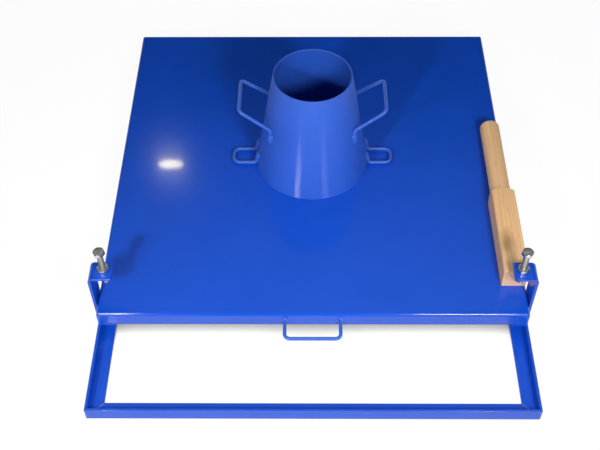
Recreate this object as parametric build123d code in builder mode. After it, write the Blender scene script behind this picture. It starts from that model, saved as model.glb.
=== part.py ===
from build123d import *
import math
import os

# Concrete flow table: a hinged drop table on an angle-iron base, with its cone and tamping bar.
# Origin at the centre of the footprint on the floor, +X right, +Y towards the hinges, +Z up.

SIDES = {"left": -1, "right": 1}
UP = Vector(0, 0, 1)

# Drop table, a folded steel sheet
TABLE_SIDE = 700.0
SHEET = 3.0
LIP_HEIGHT = 27.0
FOLD_RADIUS = 5.0
CORNER_RADIUS = 3.5
RIB_HEIGHT = 22.0
RIB_THICKNESS = 6.0
RIB_LENGTH = 690.0
RIB_SPACING = 210.0
PAD_WIDTH = 26.0
PAD_LENGTH = 40.0
PAD_THICKNESS = 4.0
DROP_GAP = 0.4

# Base frame, angle iron
RAIL_LEG = 25.0
RAIL_WALL = 4.0
RAIL_ROOT_RADIUS = 3.5
RAIL_TOE_RADIUS = 2.0
RAIL_EDGE_RADIUS = 0.6
BASE_WIDTH = 702.0
FRONT_REACH = 156.0

# Hinges behind the rear lip
HINGE_X = 250.0
HINGE_LENGTH = 60.0
KNUCKLE_RADIUS = 6.0
KNUCKLE_GAP = 0.4
LEAF_THICKNESS = 3.0
LEAF_GAP = 0.6
LEAF_MARGIN = 3.0
LEAF_RELIEF = 7.0
PIN_RADIUS = 3.0
PIN_HOLE_RADIUS = 3.05
PIN_HEAD_RADIUS = 4.2
PIN_HEAD = 1.5

# Upper stops: brackets of flat bar with a bolt and a lock nut each
BRACKET_WIDTH = 35.0
BRACKET_THICKNESS = 5.0
BRACKET_BEND = 5.0
BRACKET_EDGE_RADIUS = 0.7
BRACKET_BACK = 56.0
BRACKET_FOOT = 2.0
FLANGE_HEIGHT = 66.0
FLANGE_LENGTH = 38.0
TABLE_LIFT = 40.0
STOP_GAP = 0.8
BOLT_RADIUS = 5.0
BOLT_HOLE_RADIUS = 5.05
BOLT_LENGTH = 70.0
BOLT_INSET = 13.5
BOLT_TIP_CHAMFER = 1.2
HEX_FLATS = 17.0
BOLT_HEAD = 6.4
NUT_HEIGHT = 8.0
HEX_CHAMFER = 0.8

# Rod handles
ROD_RADIUS = 3.0
TABLE_HANDLE_WIDTH = 90.0
TABLE_HANDLE_REACH = 36.5
TABLE_HANDLE_DROP = 14.0
TABLE_HANDLE_BEND = 9.0

# Cone, open at both ends
CONE_HEIGHT = 200.0
CONE_TOP_BORE = 65.0
CONE_BASE_BORE = 100.0
CONE_WALL = 2.5
CONE_RIM_RADIUS = 0.8
REST_GAP = 0.1
ROD_SEAT = 0.6
GRIP_ANGLE = 32.0
GRIP_TAIL_Z = 92.0
GRIP_ROOT_Z = 113.0
GRIP_Z = 153.0
GRIP_REACH = 125.0
GRIP_HALF_LENGTH = 40.0
GRIP_ROOT_BEND = 8.0
GRIP_BEND = 9.0
FOOT_TAIL_Z = 25.0
FOOT_Z = 6.0
FOOT_REACH = 143.0
FOOT_HALF_WIDTH = 17.0
FOOT_ROOT_BEND = 6.0
FOOT_BEND = 12.0

# Tamping bar, one piece of wood: a square block with a turned handle
BLOCK_SIDE = 40.0
BLOCK_LENGTH = 185.0
HANDLE_RADIUS = 17.5
HANDLE_LENGTH = 170.0
HANDLE_END_ROUND = 6.0
SHOULDER_LENGTH = 9.0
BLOCK_EDGE = 2.0
BAR_X = 329.0
BAR_CLEARANCE = 1.5

# Places worked out from the sizes above
hinge_offset = KNUCKLE_RADIUS + LEAF_GAP
base_length = FRONT_REACH + TABLE_SIDE
front_y = -(base_length + hinge_offset + KNUCKLE_RADIUS) / 2
rear_y = front_y + base_length
table_front_y = front_y + FRONT_REACH
table_y = table_front_y + TABLE_SIDE / 2
lip_bottom_z = RAIL_LEG + DROP_GAP + PAD_THICKNESS
table_z = lip_bottom_z + LIP_HEIGHT
rail_x = BASE_WIDTH / 2
hinge_y = rear_y + hinge_offset
hinge_z = (RAIL_LEG + lip_bottom_z) / 2
bracket_y = table_front_y + BRACKET_BACK - BRACKET_WIDTH / 2
bolt_x = rail_x + BRACKET_THICKNESS - FLANGE_LENGTH + BOLT_INSET
flange_z = table_z + FLANGE_HEIGHT
lift_at_bolt = TABLE_LIFT * (hinge_y - bracket_y) / (hinge_y - table_front_y)
bolt_tip_z = table_z + lift_at_bolt + STOP_GAP
cone_z = table_z + REST_GAP


def base_rail(start, inward, length):
    """One angle-iron rail: upright leg outside, flat leg inside, both ends mitred."""
    along = inward.cross(UP)
    section = Plane(origin=start, x_dir=inward, z_dir=along)
    plan = Plane(origin=start, x_dir=along, z_dir=UP)
    with BuildPart() as rail:
        with BuildSketch(section) as profile:
            with BuildLine():
                Polyline(
                    (0, 0),
                    (RAIL_LEG, 0),
                    (RAIL_LEG, RAIL_WALL),
                    (RAIL_WALL, RAIL_WALL),
                    (RAIL_WALL, RAIL_LEG),
                    (0, RAIL_LEG),
                    close=True,
                )
            make_face()
            root = profile.vertices().sort_by_distance((RAIL_WALL, RAIL_WALL))[0]
            flat_toe = profile.vertices().sort_by_distance((RAIL_LEG, RAIL_WALL))[0]
            upright_toe = profile.vertices().sort_by_distance((RAIL_WALL, RAIL_LEG))[0]
            heel = profile.vertices().sort_by_distance((0, 0))[0]
            upright_edge = profile.vertices().sort_by_distance((0, RAIL_LEG))[0]
            fillet(root, RAIL_ROOT_RADIUS)
            fillet([flat_toe, upright_toe], RAIL_TOE_RADIUS)
            fillet([heel, upright_edge], RAIL_EDGE_RADIUS)
        extrude(amount=length)
        with BuildSketch(plan):
            with BuildLine():
                Polyline(
                    (0, 0),
                    (length, 0),
                    (length - RAIL_LEG, RAIL_LEG),
                    (RAIL_LEG, RAIL_LEG),
                    close=True,
                )
            make_face()
        extrude(amount=RAIL_LEG, mode=Mode.INTERSECT)
    return rail.part


def stop_bracket(side):
    """Flat bar welded to the outside of a side rail, bent in over the table's edge."""
    height = flange_z - BRACKET_FOOT
    reach = FLANGE_LENGTH - BRACKET_THICKNESS
    foot = Plane(
        origin=(side * rail_x, bracket_y, BRACKET_FOOT),
        x_dir=(side, 0, 0),
        z_dir=(0, -side, 0),
    )
    with BuildPart() as bracket:
        with BuildSketch(foot) as profile:
            with BuildLine():
                Polyline(
                    (0, 0),
                    (BRACKET_THICKNESS, 0),
                    (BRACKET_THICKNESS, height),
                    (-reach, height),
                    (-reach, height - BRACKET_THICKNESS),
                    (0, height - BRACKET_THICKNESS),
                    close=True,
                )
            make_face()
            outside = profile.vertices().sort_by_distance((BRACKET_THICKNESS, height))[0]
            inside = profile.vertices().sort_by_distance((0, height - BRACKET_THICKNESS))[0]
            fillet(outside, BRACKET_BEND + BRACKET_THICKNESS)
            fillet(inside, BRACKET_BEND)
        extrude(amount=BRACKET_WIDTH / 2, both=True)
        fillet(bracket.faces().filter_by(Axis.Y).edges(), BRACKET_EDGE_RADIUS)
        with Locations((side * bolt_x, bracket_y, flange_z)):
            Hole(radius=BOLT_HOLE_RADIUS, depth=BRACKET_THICKNESS)
    return bracket.part


def lock_nut(side):
    """Hexagon nut that locks the stop bolt on top of its bracket."""
    with BuildPart() as nut:
        with BuildSketch(Plane((side * bolt_x, bracket_y, flange_z))):
            RegularPolygon(HEX_FLATS / 2, 6, major_radius=False)
            Circle(BOLT_HOLE_RADIUS, mode=Mode.SUBTRACT)
        extrude(amount=NUT_HEIGHT)
        outer_edges = nut.faces().sort_by(Axis.Z)[-1].outer_wire().edges()
        chamfer(outer_edges, HEX_CHAMFER)
    return nut.part


def stop_bolt(side):
    """Hexagon bolt that stops the table at the top of its lift."""
    with BuildPart() as bolt:
        with BuildSketch(Plane((side * bolt_x, bracket_y, bolt_tip_z))):
            Circle(BOLT_RADIUS)
        extrude(amount=BOLT_LENGTH)
        chamfer(bolt.edges().sort_by(Axis.Z)[0], BOLT_TIP_CHAMFER)
        with BuildSketch(Plane((side * bolt_x, bracket_y, bolt_tip_z + BOLT_LENGTH))):
            RegularPolygon(HEX_FLATS / 2, 6, major_radius=False)
        extrude(amount=BOLT_HEAD)
        chamfer(bolt.faces().sort_by(Axis.Z)[-1].edges(), HEX_CHAMFER)
    return bolt.part


def hinge_leaf(centre_x, low_z, high_z, knuckles):
    """Hinge leaf on the rear face, with a neck and a bored knuckle for each span in knuckles."""
    near_z = min((low_z, high_z), key=lambda z: abs(z - hinge_z))
    start_x = centre_x - HINGE_LENGTH / 2
    with BuildPart() as leaf:
        with BuildSketch(Plane.YZ.offset(start_x)):
            with Locations((rear_y, low_z)):
                Rectangle(LEAF_THICKNESS, high_z - low_z, align=(Align.MIN, Align.MIN))
        extrude(amount=HINGE_LENGTH)
        for knuckle_start, knuckle_end in knuckles:
            with BuildSketch(Plane.YZ.offset(start_x + knuckle_start)):
                with BuildLine():
                    Polyline(
                        (rear_y + LEAF_GAP, hinge_z),
                        (rear_y + LEAF_GAP, near_z),
                        (rear_y + LEAF_THICKNESS, near_z),
                        (hinge_y, hinge_z),
                        close=True,
                    )
                make_face()
                with Locations((hinge_y, hinge_z)):
                    Circle(KNUCKLE_RADIUS)
                    Circle(PIN_HOLE_RADIUS, mode=Mode.SUBTRACT)
            extrude(amount=knuckle_end - knuckle_start)
    return leaf.part


def hinge_pin(centre_x):
    """Plain hinge pin with both ends riveted over."""
    with BuildPart() as pin:
        with BuildSketch(Plane.YZ.offset(centre_x)):
            with Locations((hinge_y, hinge_z)):
                Circle(PIN_RADIUS)
        extrude(amount=HINGE_LENGTH / 2, both=True)
        for end in SIDES.values():
            with BuildSketch(Plane.YZ.offset(centre_x + end * HINGE_LENGTH / 2)):
                with Locations((hinge_y, hinge_z)):
                    Circle(PIN_HEAD_RADIUS)
            extrude(amount=end * PIN_HEAD)
    return pin.part


def table_rib(centre_x):
    """Flat bar on edge, welded under the table sheet from front to back."""
    with BuildPart() as rib:
        with BuildSketch(Plane((centre_x, table_y, table_z - SHEET))):
            Rectangle(RIB_THICKNESS, RIB_LENGTH)
        extrude(amount=-RIB_HEIGHT)
    return rib.part


def stop_pad(side):
    """Striker pad under a front corner of the table, which lands on the side rail."""
    with BuildPart() as pad:
        with BuildSketch(Plane((side * TABLE_SIDE / 2, table_front_y, lip_bottom_z))):
            Rectangle(PAD_WIDTH, PAD_LENGTH, align=(Align.MAX if side > 0 else Align.MIN, Align.MIN))
        extrude(amount=-PAD_THICKNESS)
    return pad.part


def cone_radius(height):
    """Outside radius of the cone at a height above its base."""
    return CONE_BASE_BORE + (CONE_TOP_BORE - CONE_BASE_BORE) * height / CONE_HEIGHT + CONE_WALL


def rod_radius(height):
    """Distance of a rod's centre line from the cone's axis where the rod lies on the wall."""
    return cone_radius(height) + ROD_RADIUS - ROD_SEAT


def cone_rod(points, radii):
    """Round rod bent through points given from the cone's base centre, fitted to the cone's wall."""
    base = Vector(0, table_y, cone_z)
    with BuildPart() as rod:
        with BuildLine() as path:
            FilletPolyline(*[base + point for point in points], radius=radii)
        with BuildSketch(path.line ^ 0):
            Circle(ROD_RADIUS)
        sweep()
        with Locations(base):
            Cone(
                cone_radius(0),
                cone_radius(CONE_HEIGHT),
                CONE_HEIGHT,
                align=(Align.CENTER, Align.CENTER, Align.MIN),
                mode=Mode.SUBTRACT,
            )
    return rod.part


def cone_handle(side):
    """Lifting handle: the grip runs front to back, both ends turn down along the wall."""
    angle = math.radians(GRIP_ANGLE)
    front = []
    for height in (GRIP_TAIL_Z, GRIP_ROOT_Z):
        out = side * rod_radius(height) * math.cos(angle)
        front.append(Vector(out, -rod_radius(height) * math.sin(angle), height))
    front.append(Vector(side * GRIP_REACH, -GRIP_HALF_LENGTH, GRIP_Z))
    back = [Vector(point.X, -point.Y, point.Z) for point in reversed(front)]
    return cone_rod(front + back, [GRIP_ROOT_BEND, GRIP_BEND, GRIP_BEND, GRIP_ROOT_BEND])


def cone_foot(side):
    """Foot loop just above the table, both ends turned up along the wall."""
    front = []
    for height in (FOOT_TAIL_Z, FOOT_Z):
        out = side * math.sqrt(rod_radius(height) ** 2 - FOOT_HALF_WIDTH**2)
        front.append(Vector(out, -FOOT_HALF_WIDTH, height))
    front.append(Vector(side * FOOT_REACH, -FOOT_HALF_WIDTH, FOOT_Z))
    back = [Vector(point.X, -point.Y, point.Z) for point in reversed(front)]
    return cone_rod(front + back, [FOOT_ROOT_BEND, FOOT_BEND, FOOT_BEND, FOOT_ROOT_BEND])


# Drop table: one sheet folded down on all four sides
with BuildPart() as table_plate:
    with BuildSketch(Plane((0, table_y, lip_bottom_z))):
        Rectangle(TABLE_SIDE, TABLE_SIDE)
    extrude(amount=LIP_HEIGHT)
    fillet(table_plate.edges().filter_by(Axis.Z), CORNER_RADIUS)
    fillet(table_plate.faces().sort_by(Axis.Z)[-1].edges(), FOLD_RADIUS)
    offset(amount=-SHEET, openings=table_plate.faces().sort_by(Axis.Z)[0])

# Lifting handle on the front lip, its two ends welded square to the lip
with BuildPart() as table_handle:
    with BuildLine(Plane((0, table_front_y, table_z - TABLE_HANDLE_DROP))) as handle_path:
        FilletPolyline(
            (-TABLE_HANDLE_WIDTH / 2, 0),
            (-TABLE_HANDLE_WIDTH / 2, -TABLE_HANDLE_REACH),
            (TABLE_HANDLE_WIDTH / 2, -TABLE_HANDLE_REACH),
            (TABLE_HANDLE_WIDTH / 2, 0),
            radius=TABLE_HANDLE_BEND,
        )
    with BuildSketch(handle_path.line ^ 0):
        Circle(ROD_RADIUS)
    sweep()

# Cone wall, a plain sheet cone that stands on the middle of the table
with BuildPart() as cone_shell:
    with BuildSketch(Plane(origin=(0, table_y, cone_z), x_dir=(1, 0, 0), z_dir=(0, -1, 0))):
        with BuildLine():
            Polyline(
                (CONE_BASE_BORE, 0),
                (cone_radius(0), 0),
                (cone_radius(CONE_HEIGHT), CONE_HEIGHT),
                (CONE_TOP_BORE, CONE_HEIGHT),
                close=True,
            )
        make_face()
    revolve(axis=Axis((0, table_y, 0), (0, 0, 1)))
    fillet(cone_shell.faces().sort_by(Axis.Z)[-1].edges(), CONE_RIM_RADIUS)

# Tamping bar, lying on the right-hand edge of the table just behind the bracket
bar_front = Plane(
    origin=(BAR_X, table_front_y + BRACKET_BACK + BAR_CLEARANCE, table_z + REST_GAP + BLOCK_SIDE / 2),
    x_dir=(1, 0, 0),
    z_dir=(0, 1, 0),
)
bar_axis = Axis(bar_front.origin, bar_front.z_dir)
corner_radius = BLOCK_SIDE / math.sqrt(2)
with BuildPart() as tamping_bar:
    with BuildSketch(bar_front):
        Rectangle(BLOCK_SIDE, BLOCK_SIDE)
    extrude(amount=BLOCK_LENGTH)
    fillet(tamping_bar.edges().filter_by(Axis.Y), BLOCK_EDGE)
    chamfer(tamping_bar.faces().sort_by(Axis.Y)[0].edges(), BLOCK_EDGE / 2)
    with BuildSketch(Plane(origin=bar_front.origin, x_dir=(0, 1, 0), z_dir=(0, 0, 1))):
        with BuildLine():
            Polyline(
                (0, 0),
                (0, corner_radius),
                (BLOCK_LENGTH - SHOULDER_LENGTH, corner_radius),
                (BLOCK_LENGTH, HANDLE_RADIUS),
                (BLOCK_LENGTH, 0),
                close=True,
            )
        make_face()
    revolve(axis=bar_axis, mode=Mode.INTERSECT)
    with BuildSketch(bar_front.offset(BLOCK_LENGTH)):
        Circle(HANDLE_RADIUS)
    extrude(amount=HANDLE_LENGTH)
    fillet(tamping_bar.faces().sort_by(Axis.Y)[-1].edges(), HANDLE_END_ROUND)

knuckle_cuts = [HINGE_LENGTH * third / 3 for third in range(4)]
outer_knuckles = [
    (knuckle_cuts[0], knuckle_cuts[1] - KNUCKLE_GAP / 2),
    (knuckle_cuts[2] + KNUCKLE_GAP / 2, knuckle_cuts[3]),
]
middle_knuckle = [(knuckle_cuts[1] + KNUCKLE_GAP / 2, knuckle_cuts[2] - KNUCKLE_GAP / 2)]

pieces = {
    "base_rail_left": base_rail(Vector(-rail_x, rear_y, 0), Vector(1, 0, 0), base_length),
    "base_rail_front": base_rail(Vector(-rail_x, front_y, 0), Vector(0, 1, 0), BASE_WIDTH),
    "base_rail_right": base_rail(Vector(rail_x, front_y, 0), Vector(-1, 0, 0), base_length),
    "base_rail_rear": base_rail(Vector(rail_x, rear_y, 0), Vector(0, -1, 0), BASE_WIDTH),
    "table_plate": table_plate.part,
    "table_rib_centre": table_rib(0),
    "table_handle": table_handle.part,
    "cone_shell": cone_shell.part,
    "tamping_bar": tamping_bar.part,
}
for side_name, side in SIDES.items():
    hinge_x = side * HINGE_X
    pieces[f"stop_bracket_{side_name}"] = stop_bracket(side)
    pieces[f"lock_nut_{side_name}"] = lock_nut(side)
    pieces[f"stop_bolt_{side_name}"] = stop_bolt(side)
    pieces[f"hinge_base_leaf_{side_name}"] = hinge_leaf(
        hinge_x, LEAF_MARGIN, hinge_z - LEAF_RELIEF, outer_knuckles
    )
    pieces[f"hinge_table_leaf_{side_name}"] = hinge_leaf(
        hinge_x, hinge_z + LEAF_RELIEF, table_z - FOLD_RADIUS - LEAF_MARGIN, middle_knuckle
    )
    pieces[f"hinge_pin_{side_name}"] = hinge_pin(hinge_x)
    pieces[f"table_rib_{side_name}"] = table_rib(side * RIB_SPACING)
    pieces[f"stop_pad_{side_name}"] = stop_pad(side)
    pieces[f"cone_handle_{side_name}"] = cone_handle(side)
    pieces[f"cone_foot_{side_name}"] = cone_foot(side)

os.makedirs("parts", exist_ok=True)
for name, piece in pieces.items():
    piece.label = name
    export_step(piece, f"parts/{name}.step")
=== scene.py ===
import math
import random

import bpy
from mathutils import Matrix, Vector


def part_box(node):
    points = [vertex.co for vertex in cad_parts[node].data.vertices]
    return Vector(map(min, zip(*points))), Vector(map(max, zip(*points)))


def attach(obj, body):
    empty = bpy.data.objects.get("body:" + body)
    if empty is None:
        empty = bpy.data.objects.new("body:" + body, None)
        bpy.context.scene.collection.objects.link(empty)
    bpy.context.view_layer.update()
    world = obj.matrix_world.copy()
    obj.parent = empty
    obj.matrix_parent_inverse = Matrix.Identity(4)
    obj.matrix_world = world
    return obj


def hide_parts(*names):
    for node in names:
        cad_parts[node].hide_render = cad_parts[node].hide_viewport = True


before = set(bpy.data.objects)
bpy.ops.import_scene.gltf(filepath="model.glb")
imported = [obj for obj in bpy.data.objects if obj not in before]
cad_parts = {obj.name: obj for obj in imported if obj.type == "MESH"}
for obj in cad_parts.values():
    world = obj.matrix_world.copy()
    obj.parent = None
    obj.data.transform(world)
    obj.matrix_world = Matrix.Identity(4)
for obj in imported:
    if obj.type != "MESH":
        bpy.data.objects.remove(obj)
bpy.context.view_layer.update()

# Base rails: four lengths of hot-rolled angle iron, mitred and standing on the floor.
# The frame is sprayed with glossy blue enamel after welding, so the paint is thick on the flats,
# thin and paler on the edges, and dries with a fine orange peel. The paler edge colour is partly
# painted highlight, standing in for the light the edges catch.

MM = 0.001
FLOAT = "NodeSocketFloat"
VECTOR = "NodeSocketVector"
ENAMEL_TONES = ((0.0035, 0.068, 0.540, 1.0), (0.0055, 0.076, 0.580, 1.0))
# Paler colour of the edges: thin paint, and partly a painted highlight along them
ENAMEL_THIN_AND_HIGHLIGHT = (0.0600, 0.180, 0.720, 1.0)
ENAMEL_GLOSS = (0.06, 0.10)
ENAMEL_IOR = 1.43
PEEL_HEIGHT = 0.004
HAZE_PER_METRE = 38.0
USUAL_NOISE = (0.3, 0.7)
EDGE_RADIUS = 1.2 * MM
EDGE_SAMPLES = 6
EDGE_BEGINS, EDGE_IS_FULL = 0.995, 0.86
EDGE_RUBBED_AND_HIGHLIT = 0.45


def add_node(tree, kind, inputs=None, **settings):
    """New node in a tree; each input is given a value, or a socket to link from."""
    node = tree.nodes.new(kind)
    for label, value in settings.items():
        setattr(node, label, value)
    for label, value in (inputs or {}).items():
        if isinstance(value, bpy.types.NodeSocket):
            tree.links.new(value, node.inputs[label])
        else:
            node.inputs[label].default_value = value
    return node


def calculate(tree, operation, first, second=0.0, third=0.0):
    """Math node on sockets or numbers; gives its output socket."""
    sum_node = add_node(tree, "ShaderNodeMath", {0: first, 1: second, 2: third}, operation=operation)
    return sum_node.outputs[0]


def vector_sum(tree, operation, first, second=(0.0, 0.0, 0.0)):
    """Vector math node on sockets or vectors; gives its output sockets."""
    return add_node(tree, "ShaderNodeVectorMath", {0: first, 1: second}, operation=operation).outputs


def spread(tree, value, low, high, to_low=0.0, to_high=1.0):
    """Maps a value from one range to another, clamped at both ends."""
    ranges = {"From Min": low, "From Max": high, "To Min": to_low, "To Max": to_high}
    return add_node(tree, "ShaderNodeMapRange", {"Value": value, **ranges}).outputs[0]


def mix_colours(tree, share, first, second):
    """Colour between two colours or colour sockets, by a share from 0 to 1."""
    inputs = {0: share, 6: first, 7: second}
    return add_node(tree, "ShaderNodeMix", inputs, data_type="RGBA").outputs[2]


def noise(tree, place, scale, detail=2.0, roughness=0.5):
    """Noise value between 0 and 1 at a place."""
    inputs = {"Vector": place, "Scale": scale, "Detail": detail, "Roughness": roughness}
    return add_node(tree, "ShaderNodeTexNoise", inputs).outputs["Fac"]


def new_group(name, inputs, outputs):
    """Empty shader node group with number inputs and their starting values, and typed outputs."""
    group = bpy.data.node_groups.new(name, "ShaderNodeTree")
    for label, value in inputs.items():
        socket = group.interface.new_socket(label, in_out="INPUT", socket_type=FLOAT)
        socket.default_value = value
    for label, kind in outputs.items():
        group.interface.new_socket(label, in_out="OUTPUT", socket_type=kind)
    return group, group.nodes.new("NodeGroupInput").outputs, group.nodes.new("NodeGroupOutput").inputs


# Sprayed coat: heights in millimetres of the peel and of the waves in the metal under it
sprayed_coat, coat_in, coat_out = new_group(
    "sprayed_coat",
    {"Peel per Metre": 420.0, "Waves per Metre": 5.0, "Wave Height": 0.3, "Mottle per Metre": 16.0},
    {"Height": FLOAT, "Mottle": FLOAT, "Dullness": FLOAT},
)
coat_place = add_node(sprayed_coat, "ShaderNodeTexCoord").outputs["Object"]
peel = noise(sprayed_coat, coat_place, coat_in["Peel per Metre"], detail=1.0, roughness=0.4)
waves = noise(sprayed_coat, coat_place, coat_in["Waves per Metre"], detail=1.0, roughness=0.3)
wave_height = calculate(sprayed_coat, "MULTIPLY", waves, coat_in["Wave Height"])
coat_height = calculate(sprayed_coat, "MULTIPLY_ADD", peel, PEEL_HEIGHT, wave_height)
mottle = noise(sprayed_coat, coat_place, coat_in["Mottle per Metre"], detail=5.0, roughness=0.6)
haze = noise(sprayed_coat, coat_place, HAZE_PER_METRE, detail=6.0, roughness=0.7)
sprayed_coat.links.new(coat_height, coat_out["Height"])
sprayed_coat.links.new(spread(sprayed_coat, mottle, *USUAL_NOISE), coat_out["Mottle"])
sprayed_coat.links.new(spread(sprayed_coat, haze, low=0.35, high=0.75), coat_out["Dullness"])

# Edge wear and highlight: where an edge is rounded over, and how far it is worn there; the paler colour
# laid there is thin paint and partly a painted highlight
edge_wear_and_highlight, edge_in, edge_out = new_group(
    "edge_wear_and_highlight",
    {"Radius": EDGE_RADIUS, "Patches per Metre": 60.0},
    {"Edge": FLOAT, "Normal": VECTOR},
)
bevel = add_node(edge_wear_and_highlight, "ShaderNodeBevel", {"Radius": edge_in["Radius"]}, samples=EDGE_SAMPLES)
rounded = bevel.outputs["Normal"]
flat = add_node(edge_wear_and_highlight, "ShaderNodeNewGeometry").outputs["Normal"]
turned = vector_sum(edge_wear_and_highlight, "DOT_PRODUCT", rounded, flat)["Value"]
edge_share = spread(edge_wear_and_highlight, turned, EDGE_BEGINS, EDGE_IS_FULL)
edge_place = add_node(edge_wear_and_highlight, "ShaderNodeTexCoord").outputs["Object"]
patches = noise(edge_wear_and_highlight, edge_place, edge_in["Patches per Metre"], detail=4.0, roughness=0.6)
rubbed_and_highlit = calculate(edge_wear_and_highlight, "MULTIPLY", edge_share, spread(edge_wear_and_highlight, patches, low=0.25, high=0.65))
edge_wear_and_highlight.links.new(rubbed_and_highlit, edge_out["Edge"])
edge_wear_and_highlight.links.new(rounded, edge_out["Normal"])


def place_group(tree, group, **values):
    """A node group placed in a material with its own values."""
    node = add_node(tree, "ShaderNodeGroup", node_tree=group)
    for label, value in values.items():
        node.inputs[label.replace("_", " ")].default_value = value
    return node.outputs


def plain_material(name):
    """New material; gives it with its node tree and its shader."""
    material = bpy.data.materials.new(name)
    material.use_nodes = True
    tree = material.node_tree
    return material, tree, tree.nodes["Principled BSDF"]


def wire_shader(tree, shader, colour, roughness, bump_inputs):
    """Links a colour, a roughness and a bump of heights in millimetres to a shader."""
    bump = add_node(tree, "ShaderNodeBump", {**bump_inputs, "Distance": MM})
    tree.links.new(colour, shader.inputs["Base Color"])
    tree.links.new(roughness, shader.inputs["Roughness"])
    tree.links.new(bump.outputs["Normal"], shader.inputs["Normal"])


def enamel(name, gloss=ENAMEL_GLOSS, tones=ENAMEL_TONES, extra_height=None, **coat_values):
    """Blue enamel on steel with its own gloss, tones and coat; extra_height adds marks in the steel."""
    material, tree, shader = plain_material(name)
    coat = place_group(tree, sprayed_coat, **coat_values)
    edge = place_group(tree, edge_wear_and_highlight)
    body_colour = mix_colours(tree, coat["Mottle"], *tones)
    # Edges turn paler: thin paint, and partly a painted highlight along the edges
    thin_and_highlight_share = calculate(tree, "MULTIPLY", edge["Edge"], EDGE_RUBBED_AND_HIGHLIT)
    colour = mix_colours(tree, thin_and_highlight_share, body_colour, ENAMEL_THIN_AND_HIGHLIGHT)
    roughness = spread(tree, coat["Dullness"], 0.0, 1.0, *gloss)
    height = coat["Height"]
    if extra_height:
        height = calculate(tree, "ADD", height, extra_height(tree))
    bump_inputs = {"Height": height, "Normal": edge["Normal"], "Strength": 1.0}
    wire_shader(tree, shader, colour, roughness, bump_inputs)
    shader.inputs["IOR"].default_value = ENAMEL_IOR
    return material


def dress(material, *names):
    """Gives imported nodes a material."""
    for name in names:
        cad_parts[name].material_slots[0].material = material


frame_enamel = enamel("frame_enamel", Waves_per_Metre=9.0, Wave_Height=0.10)
dress(frame_enamel, "base_rail_left", "base_rail_front", "base_rail_right", "base_rail_rear")

# Corner welds of the base: a bead up each outside corner and one across each mitre, ground down
# and painted over with the frame. The paint lies satin on a weld, under a thin clear film, in tones
# paler than the frame's that are painted sheen.

RAIL_WALL = 4.0 * MM
RAIL_LEG = 25.0 * MM
SATIN_GLOSS = (0.34, 0.44)
# Paler tones than the frame's: painted sheen, standing in for the highlights on welds and rods
SATIN_TONES_WITH_PAINTED_SHEEN = ((0.026, 0.114, 0.545, 1.0), (0.032, 0.129, 0.590, 1.0))
SATIN_SHEEN = 0.6
SATIN_FILM = 0.35
FILM_ROUGHNESS = 0.13
DROP_PITCH = 0.42
DROP_SIZES = (0.92, 1.06)
DROP_SEGMENTS, DROP_RINGS = 10, 7
VOXELS_PER_DROP = 11
BEAD_SMOOTH_ANGLE = 60.0
BEAD_SEED = 17
bead_chance = random.Random(BEAD_SEED)


def lacquer(material, weight, roughness, sheen_below):
    """Lays a clear film over an enamel, and sets the sheen of the paint below it."""
    shader = material.node_tree.nodes["Principled BSDF"]
    shader.inputs["Specular IOR Level"].default_value = sheen_below
    shader.inputs["Coat Weight"].default_value = weight
    shader.inputs["Coat Roughness"].default_value = roughness
    shader.inputs["Coat IOR"].default_value = ENAMEL_IOR


def satin_enamel(name, **coat_values):
    """Satin blue enamel of welds and bent rods, in paler tones that paint in their sheen, under a thin
    clear film.
    """
    material = enamel(name, SATIN_GLOSS, SATIN_TONES_WITH_PAINTED_SHEEN, **coat_values)
    lacquer(material, SATIN_FILM, FILM_ROUGHNESS, SATIN_SHEEN)
    return material


weld_enamel = satin_enamel("weld_enamel", Peel_per_Metre=700.0, Waves_per_Metre=60.0, Wave_Height=0.05)


def clear_selection():
    """Nothing selected, in object mode."""
    if bpy.context.mode != "OBJECT":
        bpy.ops.object.mode_set(mode="OBJECT")
    bpy.ops.object.select_all(action="DESELECT")


def hold(piece):
    """Makes one piece the selected and active one."""
    clear_selection()
    piece.select_set(True)
    bpy.context.view_layer.objects.active = piece


def apply_modifier(piece, kind, **settings):
    """Adds a modifier to a piece and applies it at once."""
    hold(piece)
    modifier = piece.modifiers.new(kind.lower(), kind)
    for label, value in settings.items():
        setattr(modifier, label, value)
    bpy.ops.object.modifier_apply(modifier=modifier.name)


def finish_piece(piece, material, body, smooth_angle):
    """Smooths a modelled piece, gives it its material and lets it ride on a body."""
    hold(piece)
    bpy.ops.object.shade_smooth_by_angle(angle=math.radians(smooth_angle))
    piece.data.materials.clear()
    piece.data.materials.append(material)
    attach(piece, body)


def drops_along(route, pitch):
    """Places along a route of straight runs, one pitch apart."""
    places = [Vector(route[0])]
    for start, end in zip(route, route[1:]):
        run = Vector(end) - Vector(start)
        count = max(1, round(run.length / pitch))
        places += [Vector(start) + run * (step + 1) / count for step in range(count)]
    return places


def add_drop(radius, place):
    """One drop of weld metal at a place."""
    bpy.ops.mesh.primitive_uv_sphere_add(
        segments=DROP_SEGMENTS, ring_count=DROP_RINGS, radius=radius, location=place
    )


def weld_beads(name, routes, radius, body):
    """Weld beads as overlapping drops along each route, melted into one skin, riding on a body."""
    clear_selection()
    add_drop(radius, routes[0][0])
    bead = bpy.context.object
    bead.name = name
    bpy.ops.object.transform_apply(location=True, rotation=False, scale=False)
    bpy.ops.object.mode_set(mode="EDIT")
    for route in routes:
        for place in drops_along(route, radius * 2 * DROP_PITCH):
            add_drop(radius * bead_chance.uniform(*DROP_SIZES), place)
    bpy.ops.object.mode_set(mode="OBJECT")
    apply_modifier(bead, "REMESH", mode="VOXEL", voxel_size=radius * 2 / VOXELS_PER_DROP)
    apply_modifier(bead, "SMOOTH", factor=0.5, iterations=2)
    finish_piece(bead, weld_enamel, body, BEAD_SMOOTH_ANGLE)


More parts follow.
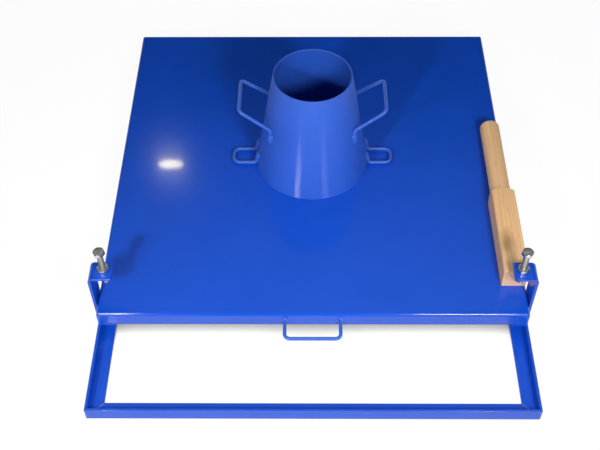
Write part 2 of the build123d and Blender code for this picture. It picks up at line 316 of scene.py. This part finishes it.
CORNER_BEAD = 2.0 * MM
CORNER_INSET = 1.3 * MM
CORNER_START = 2.6 * MM
MITRE_REACHES = (RAIL_WALL + CORNER_INSET, RAIL_LEG - CORNER_INSET)
MITRE_Z = RAIL_WALL - CORNER_INSET / 2
rail_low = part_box("base_rail_left")[0]
rail_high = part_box("base_rail_right")[1]
rear_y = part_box("base_rail_rear")[1].y
corner_routes = []
for corner_x, into_x in ((rail_low.x, 1), (rail_high.x, -1)):
    for corner_y, into_y in ((rail_low.y, 1), (rear_y, -1)):
        edge_x = corner_x + into_x * CORNER_INSET
        edge_y = corner_y + into_y * CORNER_INSET
        corner_routes.append([(edge_x, edge_y, CORNER_START), (edge_x, edge_y, RAIL_LEG - CORNER_START)])
        corner_routes.append(
            [(corner_x + into_x * reach, corner_y + into_y * reach, MITRE_Z) for reach in MITRE_REACHES]
        )
weld_beads("base_corner_welds", corner_routes, CORNER_BEAD, "base_frame")

# Hinges: two plain butt hinges of folded steel behind the rear lip, one leaf welded to the rear
# rail and one to the table, on a zinc-plated pin that is riveted over at both ends.

SIDES = ("left", "right")
HINGE_BEAD = 1.5 * MM
hinge_routes = {"base": [], "table": []}
for side in SIDES:
    for leaf, routes in hinge_routes.items():
        dress(frame_enamel, f"hinge_{leaf}_leaf_{side}")
        low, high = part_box(f"hinge_{leaf}_leaf_{side}")
        knuckle_low, knuckle_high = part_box(f"hinge_pin_{side}")
        if leaf == "base":
            bottom, top = low.z + HINGE_BEAD, knuckle_low.z - 2 * HINGE_BEAD
        else:
            bottom, top = knuckle_high.z + 2 * HINGE_BEAD, high.z - HINGE_BEAD
        for end_x in (low.x, high.x):
            routes.append([(end_x, low.y, bottom), (end_x, low.y, top)])
weld_beads("hinge_base_welds", hinge_routes["base"], HINGE_BEAD, "base_frame")
weld_beads("hinge_table_welds", hinge_routes["table"], HINGE_BEAD, "drop_table")

ZINC_BRIGHT = (0.78, 0.78, 0.77, 1.0)
ZINC_YELLOWED = (0.58, 0.56, 0.49, 1.0)
ZINC_GLOSS = (0.15, 0.28)
BLOOM_PER_METRE = 210.0
SCUFFS_PER_METRE = 900.0
SCUFF_STRENGTH = 0.04


def zinc(name):
    """Bright zinc plating on steel: mottled, slightly yellowed, with fine tool marks."""
    material, tree, shader = plain_material(name)
    place = add_node(tree, "ShaderNodeTexCoord").outputs["Object"]
    bloom = noise(tree, place, BLOOM_PER_METRE, detail=4.0, roughness=0.6)
    colour = mix_colours(tree, spread(tree, bloom, low=0.35, high=0.7), ZINC_BRIGHT, ZINC_YELLOWED)
    roughness = spread(tree, bloom, *USUAL_NOISE, *ZINC_GLOSS)
    scuffs = noise(tree, place, SCUFFS_PER_METRE, detail=3.0, roughness=0.6)
    wire_shader(tree, shader, colour, roughness, {"Height": scuffs, "Strength": SCUFF_STRENGTH})
    shader.inputs["Metallic"].default_value = 1.0
    return material


zinc_plate = zinc("zinc_plate_finish")
dress(zinc_plate, "hinge_pin_left", "hinge_pin_right")

# Stop brackets: flat bar welded upright to the outside of each side rail and bent in over the
# edge of the table, with a hole in the flange for the stop bolt.

dress(frame_enamel, "stop_bracket_left", "stop_bracket_right")
BRACKET_BEAD = 2.4 * MM
BRACKET_BEAD_TOP = RAIL_LEG - 1.2 * BRACKET_BEAD
bracket_routes = []
for side, rail_face in (("left", rail_low.x), ("right", rail_high.x)):
    low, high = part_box(f"stop_bracket_{side}")
    for edge_y in (low.y, high.y):
        foot = (rail_face, edge_y, low.z + BRACKET_BEAD)
        bracket_routes.append([foot, (rail_face, edge_y, BRACKET_BEAD_TOP)])
weld_beads("stop_bracket_welds", bracket_routes, BRACKET_BEAD, "base_frame")

# Lock nuts: zinc-plated hexagon nuts, one run down on each flange to lock its stop bolt.
# The corners of the hexagon are turned off at both ends, as on any machined nut.

HEX_FLATS = 17.0 * MM
HEX_CORNER = HEX_FLATS / math.sqrt(3)
HEX_TURN = math.radians(30)
FACE_RADIUS = 0.95 * HEX_FLATS / 2
CHAMFER_ANGLE = math.radians(30)
NUT_BORE = 5.05 * MM
NUT_EDGE = 0.15 * MM
DRILL_LENGTH = 50.0 * MM
SHARP_ANGLE = math.radians(25)
MACHINED_SMOOTH_ANGLE = 35.0
ROUND = 72


def cut(piece, tool, operation):
    """Cuts, keeps or joins one piece with another, which is used up."""
    apply_modifier(piece, "BOOLEAN", operation=operation, object=tool, solver="EXACT")
    bpy.data.objects.remove(tool)


def hexagon(name, base, height, turned_ends):
    """Hexagon blank standing on base, flats to the front, corners turned off at the ends named."""
    clear_selection()
    middle = base + Vector((0, 0, height / 2))
    bpy.ops.mesh.primitive_cylinder_add(
        vertices=6, radius=HEX_CORNER, depth=height, location=middle, rotation=(0, 0, HEX_TURN)
    )
    blank = bpy.context.object
    blank.name = name
    bpy.ops.object.transform_apply(location=True, rotation=True, scale=True)
    wide, narrow = FACE_RADIUS + height / math.tan(CHAMFER_ANGLE), FACE_RADIUS
    for end in turned_ends:
        clear_selection()
        bpy.ops.mesh.primitive_cone_add(
            vertices=ROUND,
            radius1=wide if end == "top" else narrow,
            radius2=narrow if end == "top" else wide,
            depth=height,
            location=middle,
        )
        cut(blank, bpy.context.object, "INTERSECT")
    return blank


def soften(piece, width):
    """Breaks the sharp edges of a piece by a small bevel."""
    limits = {"limit_method": "ANGLE", "angle_limit": SHARP_ANGLE}
    apply_modifier(piece, "BEVEL", width=width, segments=2, **limits)


def place_pair(piece, step, bodies, nodes):
    """Copies a left piece a step to the right; each rides on its body and stands for its node."""
    hold(piece)
    bpy.ops.object.duplicate()
    twin = bpy.context.object
    bpy.ops.transform.translate(value=(step, 0, 0))
    bpy.ops.object.transform_apply(location=True, rotation=False, scale=False)
    for half, body, node in zip((piece, twin), bodies, nodes):
        half.name = f"{node}_piece"
        finish_piece(half, zinc_plate, body, MACHINED_SMOOTH_ANGLE)
        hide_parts(node)


nut_low, nut_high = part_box("lock_nut_left")
nut_middle = (nut_low + nut_high) / 2
right_middle = sum(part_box("lock_nut_right"), Vector()) / 2
nut_base = Vector((nut_middle.x, nut_middle.y, nut_low.z))
nut = hexagon("lock_nut", nut_base, nut_high.z - nut_low.z, ("top", "bottom"))
clear_selection()
bpy.ops.mesh.primitive_cylinder_add(
    vertices=ROUND, radius=NUT_BORE, depth=DRILL_LENGTH, location=nut_middle
)
cut(nut, bpy.context.object, "DIFFERENCE")
soften(nut, NUT_EDGE)
nut_names = ("lock_nut_left", "lock_nut_right")
place_pair(nut, right_middle.x - nut_middle.x, ("base_frame", "base_frame"), nut_names)

# Stop bolts: zinc-plated hexagon screws threaded up to the head, hanging through the flanges.
# Their tips stop the table at the top of its lift.

THREAD_RADIUS = 4.95 * MM
THREAD_PITCH = 1.5 * MM
THREAD_DEPTH = 0.85 * MM
THREAD_FLANK = 0.34 * THREAD_PITCH
THREAD_CREST = 0.14 * THREAD_PITCH
THREAD_VALLEY = 0.18 * THREAD_PITCH
THREAD_PROFILE = (
    (THREAD_DEPTH, THREAD_FLANK),
    (0, THREAD_CREST),
    (-THREAD_DEPTH, THREAD_FLANK),
    (0, THREAD_VALLEY),
)
THREAD_STEPS = 32
SPARE_TURNS = 4
HEAD_HEIGHT = 6.4 * MM
HEAD_EDGE = 0.2 * MM
TIP_RADIUS = 3.8 * MM


def threaded_rod(length):
    """Threaded rod up from the origin: a turn of the profile, screwed up and sawn off at both ends."""
    clear_selection()
    start = (THREAD_RADIUS - THREAD_DEPTH, 0, -2 * THREAD_PITCH)
    bpy.ops.mesh.primitive_plane_add(size=THREAD_PITCH, location=start)
    rod = bpy.context.object
    bpy.ops.object.transform_apply(location=True, rotation=False, scale=False)
    bpy.ops.object.mode_set(mode="EDIT")
    bpy.ops.mesh.select_all(action="SELECT")
    bpy.ops.mesh.merge(type="CENTER")
    for out, up in THREAD_PROFILE:
        bpy.ops.mesh.extrude_region_move(TRANSFORM_OT_translate={"value": (out, 0, up)})
    bpy.ops.object.mode_set(mode="OBJECT")
    apply_modifier(
        rod,
        "SCREW",
        axis="Z",
        angle=2 * math.pi,
        screw_offset=THREAD_PITCH,
        iterations=math.ceil(length / THREAD_PITCH) + SPARE_TURNS,
        steps=THREAD_STEPS,
        render_steps=THREAD_STEPS,
        use_merge_vertices=True,
        merge_threshold=1e-7,
    )
    bpy.ops.object.mode_set(mode="EDIT")
    bpy.ops.mesh.select_all(action="SELECT")
    bpy.ops.mesh.remove_doubles(threshold=1e-6)
    for height, above in ((0.0, False), (length, True)):
        bpy.ops.mesh.select_all(action="SELECT")
        plane = {"plane_co": (0, 0, height), "plane_no": (0, 0, 1)}
        bpy.ops.mesh.bisect(**plane, use_fill=True, clear_outer=above, clear_inner=not above)
    bpy.ops.mesh.select_all(action="SELECT")
    bpy.ops.mesh.normals_make_consistent(inside=False)
    bpy.ops.object.mode_set(mode="OBJECT")
    return rod


bolt_low, bolt_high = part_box("stop_bolt_left")
bolt_middle = (bolt_low + bolt_high) / 2
shank_length = bolt_high.z - bolt_low.z - HEAD_HEIGHT
bolt = threaded_rod(shank_length + HEAD_HEIGHT / 4)
clear_selection()
tip_reach = shank_length + HEAD_HEIGHT
bpy.ops.mesh.primitive_cone_add(
    vertices=ROUND,
    radius1=TIP_RADIUS,
    radius2=TIP_RADIUS + tip_reach,
    depth=tip_reach,
    location=(0, 0, tip_reach / 2),
)
cut(bolt, bpy.context.object, "INTERSECT")
hold(bolt)
bpy.ops.transform.translate(value=(bolt_middle.x, bolt_middle.y, bolt_low.z))
bpy.ops.object.transform_apply(location=True, rotation=False, scale=False)
head_base = Vector((bolt_middle.x, bolt_middle.y, bolt_low.z + shank_length))
head = hexagon("stop_bolt_head", head_base, HEAD_HEIGHT, ("top",))
soften(head, HEAD_EDGE)
cut(bolt, head, "UNION")
bolt_names = ("stop_bolt_left", "stop_bolt_right")
place_pair(bolt, -bolt_middle.x - bolt_middle.x, ("stop_screw_left", "stop_screw_right"), bolt_names)

# Drop table: one steel sheet folded down on all four sides, its corners welded and ground.
# Flat bar ribs stiffen it from below, and a striker pad under each front corner takes the drop.
# The top is the glossiest face, its satin paint flooded with a clear film.

TABLE_GLOSS = (0.13, 0.18)
TABLE_TONES = ((0.0042, 0.071, 0.560, 1.0), (0.0062, 0.079, 0.600, 1.0))
TABLE_FILM = 0.45
TABLE_FILM_ROUGHNESS = 0.05
TABLE_SHEEN = 0.35
table_enamel = enamel(
    "table_enamel",
    TABLE_GLOSS,
    TABLE_TONES,
    Waves_per_Metre=3.2,
    Wave_Height=0.55,
    Mottle_per_Metre=7.0,
)
lacquer(table_enamel, TABLE_FILM, TABLE_FILM_ROUGHNESS, TABLE_SHEEN)
dress(table_enamel, "table_plate")
dress(frame_enamel, "table_rib_left", "table_rib_centre", "table_rib_right")
dress(frame_enamel, "stop_pad_left", "stop_pad_right")
LIP_BEAD = 1.8 * MM
LIP_INSET = 1.9 * MM
FOLD_RADIUS = 5.0 * MM
table_low, table_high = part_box("table_plate")
lip_heights = (table_low.z + LIP_BEAD, table_high.z - FOLD_RADIUS)
lip_routes = []
for corner_x in (table_low.x + LIP_INSET, table_high.x - LIP_INSET):
    for corner_y in (table_low.y + LIP_INSET, table_high.y - LIP_INSET):
        lip_routes.append([(corner_x, corner_y, height) for height in lip_heights])
weld_beads("table_corner_welds", lip_routes, LIP_BEAD, "drop_table")

# Lift handle: a length of round rod bent to a flat U, its two ends welded square to the front lip
# with a bead all round each of them.

rod_enamel = satin_enamel("rod_enamel", Peel_per_Metre=600.0, Waves_per_Metre=40.0, Wave_Height=0.04)
dress(rod_enamel, "table_handle")
ROD_RADIUS = 3.0 * MM
HANDLE_BEAD = 2.2 * MM
HANDLE_BEAD_OUT = 0.3 * MM
HANDLE_BEAD_GAP = 0.2 * MM
RING_STEPS = 16


def ring_route(centre, axis, radius):
    """Closed round route about an axis."""
    side = axis.orthogonal().normalized()
    across = axis.normalized().cross(side)
    angles = [2 * math.pi * step / RING_STEPS for step in range(RING_STEPS + 1)]
    return [centre + (side * math.cos(angle) + across * math.sin(angle)) * radius for angle in angles]


handle_low, handle_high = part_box("table_handle")
handle_z = (handle_low.z + handle_high.z) / 2
handle_routes = []
for leg_x in (handle_low.x + ROD_RADIUS, handle_high.x - ROD_RADIUS):
    foot = Vector((leg_x, handle_high.y - HANDLE_BEAD_OUT, handle_z))
    handle_routes.append(ring_route(foot, Vector((0, 1, 0)), ROD_RADIUS + HANDLE_BEAD_GAP))
weld_beads("table_handle_welds", handle_routes, HANDLE_BEAD, "drop_table")

# Cone: sheet steel rolled to a plain open cone and seam-welded up the back. Rolling leaves faint
# upright facets in the wall, which break up the highlights on its front. The satin paint carries a
# clear film that ran down and is thick on the lower half. Its tones are paler than the frame's:
# painted sheen for the broad highlight on the front.

CONE_BASE_RADIUS = 102.5 * MM
CONE_TOP_RADIUS = 67.5 * MM
CONE_GLOSS = (0.56, 0.64)
# Paler tones than the frame's: painted sheen, standing in for the broad highlight on the cone's front
CONE_TONES_WITH_PAINTED_SHEEN = ((0.011, 0.090, 0.545, 1.0), (0.015, 0.100, 0.585, 1.0))
CONE_SHEEN = 1.0
THICK_FILM, THIN_FILM = 1.0, 0.1
FILM_THINS_FROM, FILM_THINS_TO = 105.0 * MM, 165.0 * MM
ROLL_FACETS = 46.0
ROLL_HEIGHT = 0.035
ROLL_UNEVENNESS = 3.5
cone_low, cone_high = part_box("cone_shell")
cone_middle = (cone_low + cone_high) / 2
cone_height = cone_high.z - cone_low.z


def object_axes(tree):
    """The three Object coordinates of the point that is shaded."""
    place = add_node(tree, "ShaderNodeTexCoord").outputs["Object"]
    return add_node(tree, "ShaderNodeSeparateXYZ", {0: place}).outputs


def roll_marks(tree):
    """Height of the roller's facets round the cone."""
    place = object_axes(tree)
    back = calculate(tree, "SUBTRACT", place["Y"], cone_middle.y)
    turn = calculate(tree, "ARCTAN2", place["X"], back)
    spot = add_node(tree, "ShaderNodeCombineXYZ", {"X": turn, "Y": place["Z"]}).outputs[0]
    ridges = calculate(tree, "SINE", calculate(tree, "MULTIPLY", turn, ROLL_FACETS))
    uneven = calculate(tree, "MULTIPLY", ridges, noise(tree, spot, ROLL_UNEVENNESS))
    return calculate(tree, "MULTIPLY", uneven, ROLL_HEIGHT)


cone_enamel = enamel(
    "cone_enamel", CONE_GLOSS, CONE_TONES_WITH_PAINTED_SHEEN, roll_marks, Waves_per_Metre=9.0, Wave_Height=0.25
)
lacquer(cone_enamel, THICK_FILM, FILM_ROUGHNESS, CONE_SHEEN)
cone_tree = cone_enamel.node_tree
film_low, film_high = cone_low.z + FILM_THINS_FROM, cone_low.z + FILM_THINS_TO
film = spread(cone_tree, object_axes(cone_tree)["Z"], film_low, film_high, THICK_FILM, THIN_FILM)
cone_tree.links.new(film, cone_tree.nodes["Principled BSDF"].inputs["Coat Weight"])
dress(cone_enamel, "cone_shell")


def on_wall(turn, height, off=0.0):
    """Point on the cone's outside at an angle from +X and a height above its base, off the wall."""
    radius = CONE_BASE_RADIUS + (CONE_TOP_RADIUS - CONE_BASE_RADIUS) * height / cone_height + off
    aside, back = radius * math.cos(turn), radius * math.sin(turn)
    return Vector((aside, cone_middle.y + back, cone_low.z + height))


SEAM_BEAD = 1.5 * MM
SEAM_OFF_WALL = -0.8 * MM
SEAM_SHORT = 3.0 * MM
seam_ends = (SEAM_SHORT, cone_height - SEAM_SHORT)
seam_route = [on_wall(math.pi / 2, height, SEAM_OFF_WALL) for height in seam_ends]
weld_beads("cone_seam_weld", [seam_route], SEAM_BEAD, "cone")

# Cone handles: round rod bent to a grip that runs front to back, both tails turned down along the
# wall and welded there with a round blob at the end of each tail.

dress(rod_enamel, "cone_handle_left", "cone_handle_right")
SIDE_TURNS = {"left": math.pi, "right": 0.0}
GRIP_TURN = math.radians(32)
GRIP_TAIL = 92.0 * MM
GRIP_RUN = 9.0 * MM
TAIL_BEAD = 3.0 * MM
TAIL_BEAD_GAP = 0.4 * MM
TAIL_PROUD = 1.0 * MM
TAIL_SPREAD = 1.25
TAIL_BLUNTNESS = 0.6
TAIL_STEPS = 6


def tail_route(turn, end, run, up):
    """Bead down one side of a rod's tail, round its end and back up the other side."""
    reach = ROD_RADIUS + TAIL_BEAD_GAP
    aside = TAIL_SPREAD * (reach / CONE_BASE_RADIUS)
    route = [on_wall(turn - aside, end + up * run)]
    for step in range(TAIL_STEPS + 1):
        angle = math.pi * step / TAIL_STEPS
        height = end - up * (math.sin(angle) * reach * TAIL_BLUNTNESS)
        route.append(on_wall(turn - aside * math.cos(angle), height, TAIL_PROUD))
    route.append(on_wall(turn + aside, end + up * run))
    return route


for side, side_turn in SIDE_TURNS.items():
    turns = (side_turn - GRIP_TURN, side_turn + GRIP_TURN)
    grip_routes = [tail_route(turn, GRIP_TAIL, GRIP_RUN, 1) for turn in turns]
    weld_beads(f"cone_handle_welds_{side}", grip_routes, TAIL_BEAD, "cone")

# Foot loops: short round-rod loops just above the table, which hold the cone down underfoot.
# Their ends turn up along the wall and are welded to it.

dress(rod_enamel, "cone_foot_left", "cone_foot_right")
FOOT_HALF_WIDTH = 17.0 * MM
FOOT_WALL_RADIUS = CONE_BASE_RADIUS - 2 * MM
FOOT_TURN = math.asin(FOOT_HALF_WIDTH / FOOT_WALL_RADIUS)
FOOT_TAIL = 25.0 * MM
FOOT_RUN = 7.0 * MM
for side, side_turn in SIDE_TURNS.items():
    turns = (side_turn - FOOT_TURN, side_turn + FOOT_TURN)
    foot_routes = [tail_route(turn, FOOT_TAIL, FOOT_RUN, -1) for turn in turns]
    weld_beads(f"cone_foot_welds_{side}", foot_routes, TAIL_BEAD, "cone")

# Tamping bar: one piece of beech, planed square below and turned round above for the hand.
# The growth rings run the length of the bar and show as arcs on the end grain; a small brown patch
# on the top face is painted shade, laid where the right stop bolt's shadow falls.

bar_low, bar_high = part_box("tamping_bar")
bar_middle = (bar_low + bar_high) / 2
PITH = (bar_middle.x - 38.0 * MM, 0.0, bar_middle.z + 52.0 * MM)
RING_GAP = 5.2 * MM
RING_WANDER = 16.0 * MM
WANDER_PER_METRE = 34.0
LATE_WOOD_FROM, LATE_WOOD_POWER = 0.25, 1.6
FIBRES_PER_METRE = 900.0
STREAKS_PER_METRE = 150.0
BLUSH_PER_METRE = 55.0
FLECKS_PER_METRE = 420.0
ALONG_GRAIN = (1.0, 0.06, 1.0)
ALONG_BLUSH = (1.0, 0.25, 1.0)
ACROSS_GRAIN = (1.0, 0.0, 1.0)
RING_SHARE, FIBRE_SHARE, STREAK_SHARE = 0.30, 0.35, 0.75
BLUSH_SHARE = 0.7
BOLT_SHADE_SPOT = (bar_middle.x - 5.0 * MM, bar_low.y + 66.0 * MM, bar_high.z)
BOLT_SHADE_SHAPE = (1.0, 0.55, 1.0)
BOLT_SHADE_REACH = 15.0 * MM
BOLT_SHADE_SHARE = 0.75
FLECK_SHARE = 0.30
END_SHARE, END_RING_SHARE = 0.8, 0.5
FIBRE_HEIGHT = 0.10
FIBRE_STRENGTH = 0.8
WOOD_EDGE = 1.6 * MM
WOOD_DULLNESS = (0.52, 0.68)
WOOD_IOR = 1.45
WOOD_PALE = (0.900, 0.600, 0.310, 1.0)
WOOD_TAN = (0.720, 0.410, 0.180, 1.0)
WOOD_PINK = (0.860, 0.500, 0.320, 1.0)
WOOD_BROWN = (0.430, 0.210, 0.080, 1.0)
WOOD_END = (0.800, 0.510, 0.340, 1.0)


def beech(name):
    """Planed beech along Y: growth rings about a pith outside the bar, streaks, a painted shade patch
    and end grain.
    """
    material, tree, shader = plain_material(name)
    coordinates = add_node(tree, "ShaderNodeTexCoord").outputs
    place = coordinates["Object"]
    along = vector_sum(tree, "MULTIPLY", place, ALONG_GRAIN)[0]
    from_pith = vector_sum(tree, "SUBTRACT", place, PITH)[0]
    across = vector_sum(tree, "MULTIPLY", from_pith, ACROSS_GRAIN)[0]
    depth = vector_sum(tree, "LENGTH", across)["Value"]
    wander = noise(tree, along, WANDER_PER_METRE, detail=3.0)
    grown = calculate(tree, "MULTIPLY_ADD", wander, RING_WANDER, depth)
    ring = calculate(tree, "FRACT", calculate(tree, "DIVIDE", grown, RING_GAP))
    late_wood = calculate(tree, "POWER", spread(tree, ring, LATE_WOOD_FROM, 1.0), LATE_WOOD_POWER)
    fibres = noise(tree, along, FIBRES_PER_METRE, detail=3.0, roughness=0.6)
    streaks = noise(tree, along, STREAKS_PER_METRE, detail=4.0, roughness=0.6)
    tone = calculate(tree, "MULTIPLY", fibres, FIBRE_SHARE)
    tone = calculate(tree, "MULTIPLY_ADD", late_wood, RING_SHARE, tone)
    tone = calculate(tree, "MULTIPLY_ADD", streaks, STREAK_SHARE, tone)
    colour = mix_colours(tree, spread(tree, tone, low=0.40, high=0.95), WOOD_PALE, WOOD_TAN)
    along_blush = vector_sum(tree, "MULTIPLY", place, ALONG_BLUSH)[0]
    blush = noise(tree, along_blush, BLUSH_PER_METRE, detail=3.0, roughness=0.6)
    blush_share = spread(tree, blush, low=0.45, high=0.70, to_high=BLUSH_SHARE)
    colour = mix_colours(tree, blush_share, colour, WOOD_PINK)
    # Painted shade: a brown patch on the top face where the right stop bolt's shadow falls
    from_bolt_shade = vector_sum(tree, "SUBTRACT", place, BOLT_SHADE_SPOT)[0]
    from_bolt_shade = vector_sum(tree, "MULTIPLY", from_bolt_shade, BOLT_SHADE_SHAPE)[0]
    bolt_shade_distance = vector_sum(tree, "LENGTH", from_bolt_shade)["Value"]
    ragged_distance = calculate(tree, "MULTIPLY_ADD", blush, BOLT_SHADE_REACH, bolt_shade_distance)
    bolt_shade = spread(tree, ragged_distance, 0.5 * BOLT_SHADE_REACH, 1.5 * BOLT_SHADE_REACH, BOLT_SHADE_SHARE, 0.0)
    flecks = spread(tree, noise(tree, along, FLECKS_PER_METRE), low=0.66, high=0.74)
    brown = calculate(tree, "MAXIMUM", bolt_shade, calculate(tree, "MULTIPLY", flecks, FLECK_SHARE))
    colour = mix_colours(tree, brown, colour, WOOD_BROWN)
    facing = add_node(tree, "ShaderNodeSeparateXYZ", {0: coordinates["Normal"]}).outputs["Y"]
    squarely = calculate(tree, "ABSOLUTE", facing)
    end_share = spread(tree, squarely, low=0.75, high=0.95, to_high=END_SHARE)
    end_rings = calculate(tree, "MULTIPLY", late_wood, END_RING_SHARE)
    colour = mix_colours(tree, end_share, colour, mix_colours(tree, end_rings, WOOD_END, WOOD_TAN))
    edge = place_group(tree, edge_wear_and_highlight, Radius=WOOD_EDGE)
    height = calculate(tree, "MULTIPLY", fibres, FIBRE_HEIGHT)
    bump_inputs = {"Height": height, "Normal": edge["Normal"], "Strength": FIBRE_STRENGTH}
    roughness = spread(tree, fibres, *USUAL_NOISE, *WOOD_DULLNESS)
    wire_shader(tree, shader, colour, roughness, bump_inputs)
    shader.inputs["IOR"].default_value = WOOD_IOR
    return material


dress(beech("planed_beech"), "tamping_bar")

# Floor: a plain white sweep under the table. What the camera sees of it, directly or mirrored, glows
# white and dims where the table shuts out the sky, which leaves a soft shadow.

FLOOR_SIDE = 80.0
FLOOR_DROP = 0.2 * MM
FLOOR_MATT = (0.65, 0.65, 0.65, 1.0)
FLOOR_SHADED = (0.10, 0.10, 0.10, 1.0)
FLOOR_WHITE = (1.0, 1.0, 1.0, 1.0)
FLOOR_GLOW = 0.93
SHADOW_REACH = 0.4
SHADOW_SAMPLES = 32
clear_selection()
bpy.ops.mesh.primitive_plane_add(size=FLOOR_SIDE, location=(0, 0, -FLOOR_DROP))
floor = bpy.context.object
floor.name = "floor"
floor_paint, floor_tree, floor_shader = plain_material("floor_paint")
floor_tree.nodes.remove(floor_shader)
paths = add_node(floor_tree, "ShaderNodeLightPath").outputs
seen = calculate(floor_tree, "MAXIMUM", paths["Is Camera Ray"], paths["Is Glossy Ray"])
seen = calculate(floor_tree, "MAXIMUM", seen, paths["Is Transmission Ray"])
matt = add_node(floor_tree, "ShaderNodeBsdfDiffuse", {"Color": FLOOR_MATT})
shaded = add_node(floor_tree, "ShaderNodeBsdfDiffuse", {"Color": FLOOR_SHADED})
reach = {"Distance": SHADOW_REACH}
sky = add_node(floor_tree, "ShaderNodeAmbientOcclusion", reach, samples=SHADOW_SAMPLES)
brightness = spread(floor_tree, sky.outputs["AO"], low=0.05, high=0.45, to_high=FLOOR_GLOW)
glow = add_node(floor_tree, "ShaderNodeEmission", {"Color": FLOOR_WHITE, "Strength": brightness})
lit = add_node(floor_tree, "ShaderNodeAddShader", {0: shaded.outputs[0], 1: glow.outputs[0]})
floor_mix = add_node(floor_tree, "ShaderNodeMixShader", {0: seen, 1: matt.outputs[0], 2: lit.outputs[0]})
floor_tree.links.new(floor_mix.outputs[0], floor_tree.nodes["Material Output"].inputs["Surface"])
floor.data.materials.append(floor_paint)

# Light: a soft key lamp each side of the camera, two weak low lamps that draw the streaks on the
# cone, a small warm lamp behind that glints on the table, and a dim room, pale at the horizon.

KEY_COLOUR = (1.0, 0.99, 0.97)
GLINT_COLOUR = (1.0, 0.89, 0.50)
STREAK_BEAM = math.radians(35.0)
FULL_BEAM = math.radians(180.0)


def lamp(name, place, target, power, size, colour=KEY_COLOUR, beam=FULL_BEAM):
    """Oval lamp of a width and height, aimed at a point."""
    data = bpy.data.lights.new(name, "AREA")
    data.shape = "ELLIPSE"
    data.size, data.size_y = size
    data.energy = power
    data.color = colour
    data.spread = beam
    light = bpy.data.objects.new(name, data)
    bpy.context.scene.collection.objects.link(light)
    light.location = place
    light.rotation_euler = (Vector(target) - Vector(place)).to_track_quat("-Z", "Y").to_euler()
    light.visible_camera = False


lamp("key_left", (-0.533, -0.947, 0.848), target=(-0.33, -0.24, 0.17), power=5.5, size=(0.10, 0.10))
lamp("key_right", (0.440, -1.093, 1.017), target=(0.0, -0.15, 0.08), power=13.6, size=(0.30, 0.30))
lamp(
    "streak_left",
    (-0.97, -1.79, 1.11),
    target=(-0.20, -0.29, 0.06),
    power=0.45,
    size=(0.36, 0.25),
    beam=STREAK_BEAM,
)
lamp(
    "streak_right",
    (0.85, -1.85, 1.10),
    target=(0.18, -0.22, 0.06),
    power=0.18,
    size=(0.40, 0.40),
    beam=STREAK_BEAM,
)
lamp(
    "glint",
    (-0.512, 1.280, 1.344),
    target=(-0.512, 0.06, 0.06),
    power=0.32,
    size=(0.090, 0.028),
    colour=GLINT_COLOUR,
)

# Brightness of the room by the sine of the height above the horizon
FRONT_GLOW = ((0.0, 0.94), (0.06, 0.24), (0.4, 0.11), (1.0, 0.14))
BACK_GLOW = (
    (0.0, 0.94),
    (0.2, 0.45),
    (0.48, 0.02),
    (0.66, 0.02),
    (0.69, 0.05),
    (0.745, 0.24),
    (0.84, 0.42),
    (1.0, 0.28),
)
world = bpy.data.worlds.new("room")
bpy.context.scene.world = world
world.use_nodes = True
room = world.node_tree
direction = add_node(room, "ShaderNodeTexCoord").outputs["Generated"]
way = add_node(room, "ShaderNodeSeparateXYZ", {0: direction}).outputs


def glow_by_height(stops):
    """Grey of one half of the room, from stops of height and brightness."""
    ramp = add_node(room, "ShaderNodeValToRGB", {"Fac": way["Z"]})
    while len(ramp.color_ramp.elements) < len(stops):
        ramp.color_ramp.elements.new(1.0)
    for element, (height, level) in zip(ramp.color_ramp.elements, stops):
        element.position = height
        element.color = (level, level, level, 1.0)
    return ramp.outputs["Color"]


in_front = glow_by_height(FRONT_GLOW)
behind = glow_by_height(BACK_GLOW)
room_colour = mix_colours(room, spread(room, way["Y"], low=-0.2, high=0.2), in_front, behind)
room.links.new(room_colour, room.nodes["Background"].inputs["Color"])

# Camera: high in front of the table, looking down over the cone.
# Its place and turns are the ones that lay the table's lines nearest to the photograph's.

CAMERA_LENS = 58.215
CAMERA_PLACE = (-6.4 * MM, -1169.8 * MM, 1343.6 * MM)
CAMERA_PITCH = math.radians(50.0)
CAMERA_YAW = -0.014
CAMERA_ROLL = -0.010
camera_data = bpy.data.cameras.new("camera")
camera_data.lens = CAMERA_LENS
camera = bpy.data.objects.new("camera", camera_data)
bpy.context.scene.collection.objects.link(camera)
heading = Matrix.Rotation(-CAMERA_YAW, 4, "Z")
tilt = Matrix.Rotation(math.pi / 2 - CAMERA_PITCH, 4, "X")
lean = Matrix.Rotation(CAMERA_ROLL, 4, "Z")
camera.matrix_world = Matrix.Translation(CAMERA_PLACE) @ heading @ tilt @ lean
bpy.context.scene.camera = camera
bpy.context.scene.view_settings.view_transform = "Standard"
